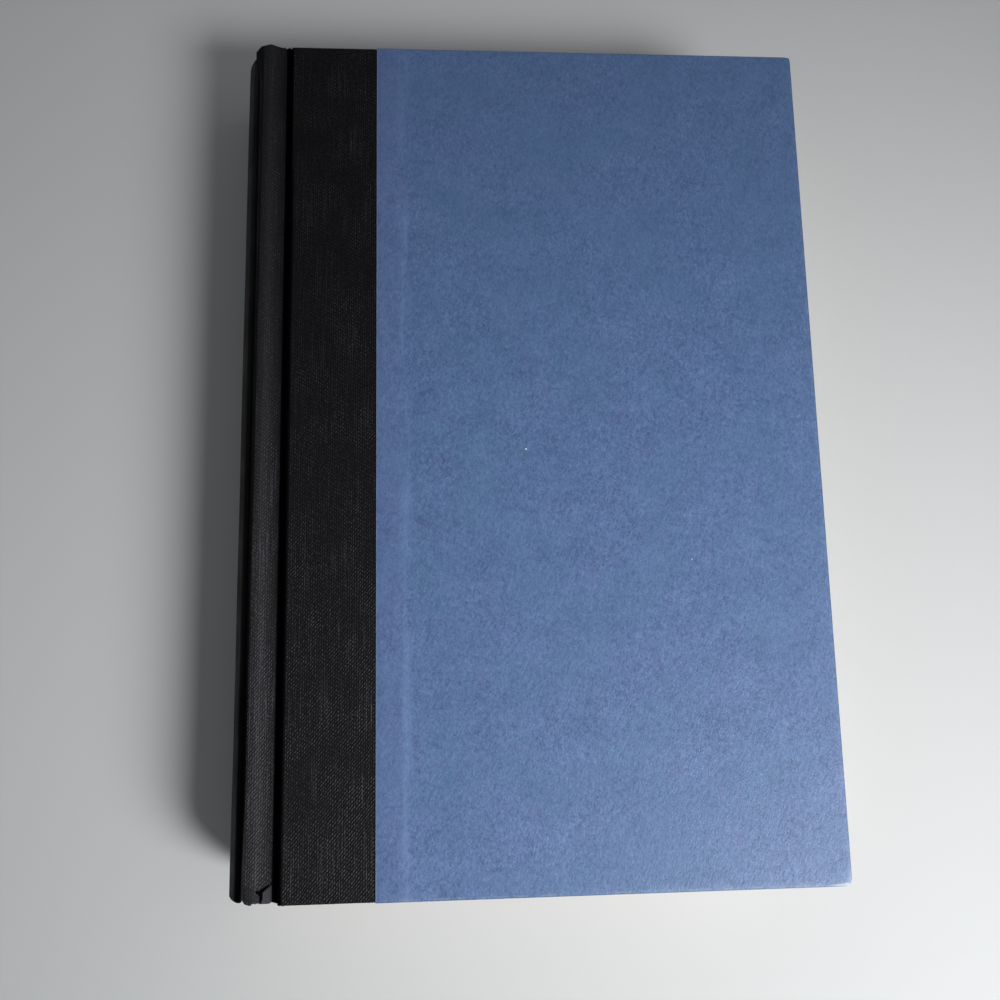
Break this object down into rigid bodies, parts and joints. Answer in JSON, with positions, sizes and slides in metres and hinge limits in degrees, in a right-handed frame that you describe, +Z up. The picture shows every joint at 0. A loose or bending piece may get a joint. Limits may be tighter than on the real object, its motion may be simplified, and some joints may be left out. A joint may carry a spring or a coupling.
{
  "type": "hardback book",
  "caption": "Closed hardback book, quarter-bound: black cloth on a rounded spine, blue paper on the covers, with both covers hinged at the joints.",
  "frame": {"origin": "middle of the bottom of the closed book's box, on the surface that the book lies on", "axes": "+X from the spine to the fore edge, +Y from the tail to the head, +Z up from the back cover to the front cover"},
  "size_m": [0.1659, 0.2414, 0.0365],
  "materials": {
    "book_cloth": "black cloth with a fine twill weave, matt",
    "blue_paper": "mottled blue paper with felt-like fibres, matt",
    "grey_board": "grey board, unseen inside the covers",
    "page_paper": "cream pages, cut edges",
    "endpaper": "plain cream endpaper",
    "gauze": "open-weave cotton gauze",
    "lining_paper": "brown lining paper",
    "spine_card": "thin card",
    "band_thread": "woven band in two colours of thread"
  },
  "bodies": {
    "block": {"page_block": "page_paper", "front_flyleaf": "endpaper", "back_flyleaf": "endpaper", "mull": "gauze", "spine_lining": "lining_paper", "spine_strip": "spine_card", "spine_cloth": "book_cloth", "head_band": "band_thread", "tail_band": "band_thread"},
    "front_cover": {"front_board": "grey_board", "front_cloth_panel": "book_cloth", "front_paper_side": "blue_paper", "front_mull_flange": "gauze", "front_pastedown": "endpaper"},
    "back_cover": {"back_board": "grey_board", "back_cloth_panel": "book_cloth", "back_paper_side": "blue_paper", "back_mull_flange": "gauze", "back_pastedown": "endpaper"}
  },
  "joints": [
    {"name": "front_cover_hinge", "type": "hinge", "parent": "block", "child": "front_cover", "pos_m": [-0.06845, 0, 0.0371], "axis": [0, -1, 0], "range_deg": [0, 180]},
    {"name": "back_cover_hinge", "type": "hinge", "parent": "block", "child": "back_cover", "pos_m": [-0.06845, 0, -0.0006], "axis": [0, 1, 0], "range_deg": [0, 180]}
  ]
}
